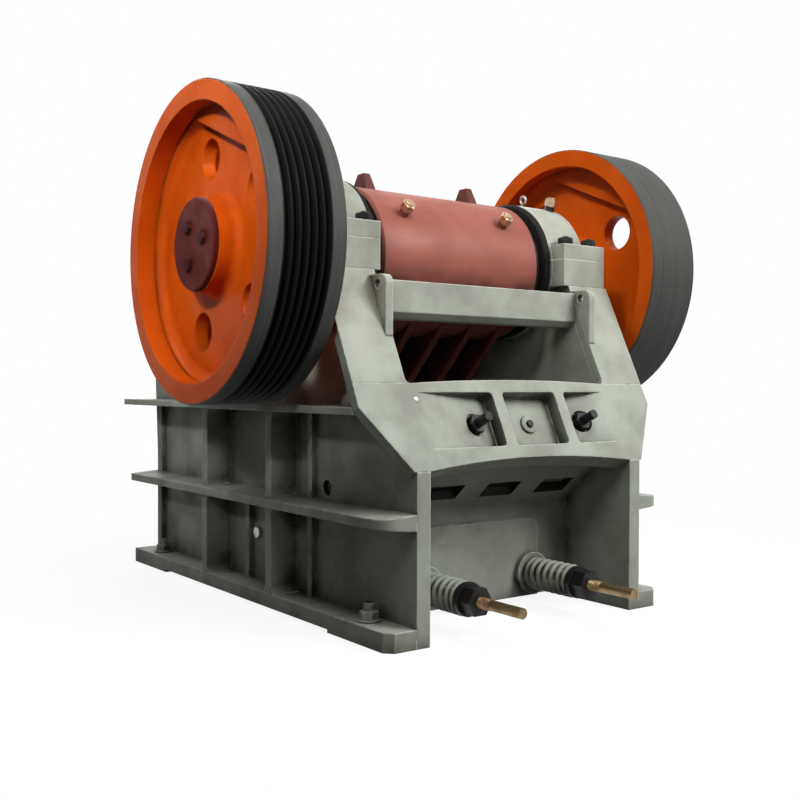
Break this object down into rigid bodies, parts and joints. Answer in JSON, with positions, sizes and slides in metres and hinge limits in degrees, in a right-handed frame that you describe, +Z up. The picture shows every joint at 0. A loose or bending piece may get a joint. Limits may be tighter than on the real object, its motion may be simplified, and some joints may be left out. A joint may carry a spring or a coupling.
{
  "type": "jaw crusher",
  "caption": "Single-toggle jaw crusher: ribbed cast frame, toothed jaws, eccentric shaft with a grooved pulley and a flywheel, toggle plate and sprung tension rods.",
  "frame": {"origin": "ground level, centre of the four foundation bolts, midway along and across the frame", "axes": "+Z up, +X along the shaft towards the plain flywheel, +Y towards the fixed jaw (feed end)"},
  "size_m": [1.75, 2.0585, 1.6469],
  "materials": {
    "frame_paint": "pale grey-green enamel",
    "wheel_paint": "orange enamel, rim bare turned iron",
    "cover_paint": "dark red enamel",
    "jaw_paint": "oxide red primer",
    "wear_steel": "cast manganese steel",
    "shaft_steel": "turned",
    "dark_steel": "dark oxide",
    "rod_steel": "yellow zinc, tarnished",
    "spring_paint": "grey-green enamel",
    "seal_iron": "dark, greasy"
  },
  "bodies": {
    "frame": {"left_side_wall": "frame_paint", "right_side_wall": "frame_paint", "left_flanges": "frame_paint", "right_flanges": "frame_paint", "left_wall_ribs": "frame_paint", "right_wall_ribs": "frame_paint", "left_leg": "frame_paint", "right_leg": "frame_paint", "left_lifting_ear": "frame_paint", "right_lifting_ear": "frame_paint", "left_bearing_seat": "frame_paint", "right_bearing_seat": "frame_paint", "left_bearing_cap": "frame_paint", "right_bearing_cap": "frame_paint", "front_wall": "frame_paint", "front_flanges": "frame_paint", "front_ribs": "frame_paint", "rear_beam": "frame_paint", "rear_wall": "frame_paint", "cross_bar": "frame_paint", "adjusting_block": "frame_paint", "toggle_plate": "frame_paint", "left_cheek_plate": "wear_steel", "left_adjusting_stud": "dark_steel", "left_tension_rod": "rod_steel", "left_spring_seat": "frame_paint", "left_spring": "spring_paint", "left_spring_cap": "dark_steel", "right_cheek_plate": "wear_steel", "right_adjusting_stud": "dark_steel", "right_tension_rod": "rod_steel", "right_spring_seat": "frame_paint", "right_spring": "spring_paint", "right_spring_cap": "dark_steel", "fixed_jaw_plate": "wear_steel"},
    "rotor": {"eccentric_shaft": "shaft_steel", "pulley_rim": "wheel_paint", "pulley_web": "wheel_paint", "flywheel_rim": "wheel_paint", "flywheel_web": "wheel_paint", "left_hub_cover": "cover_paint", "right_hub_cover": "cover_paint"},
    "jaw": {"moving_jaw": "jaw_paint", "moving_jaw_plate": "wear_steel", "rod_pins": "dark_steel", "left_seal_ring": "seal_iron", "right_seal_ring": "seal_iron"}
  },
  "joints": [
    {"name": "shaft_spin", "type": "hinge", "parent": "frame", "child": "rotor", "pos_m": [0, -0.31884, 1.162], "axis": [1, 0, 0], "continuous": true},
    {"name": "jaw_on_eccentric", "type": "hinge", "parent": "rotor", "child": "jaw", "pos_m": [0, -0.31488, 1.15282], "axis": [1, 0, 0], "continuous": true}
  ],
  "couplings": [
    {"joint": "jaw_on_eccentric", "follows": "shaft_spin", "ratio": -1}
  ]
}
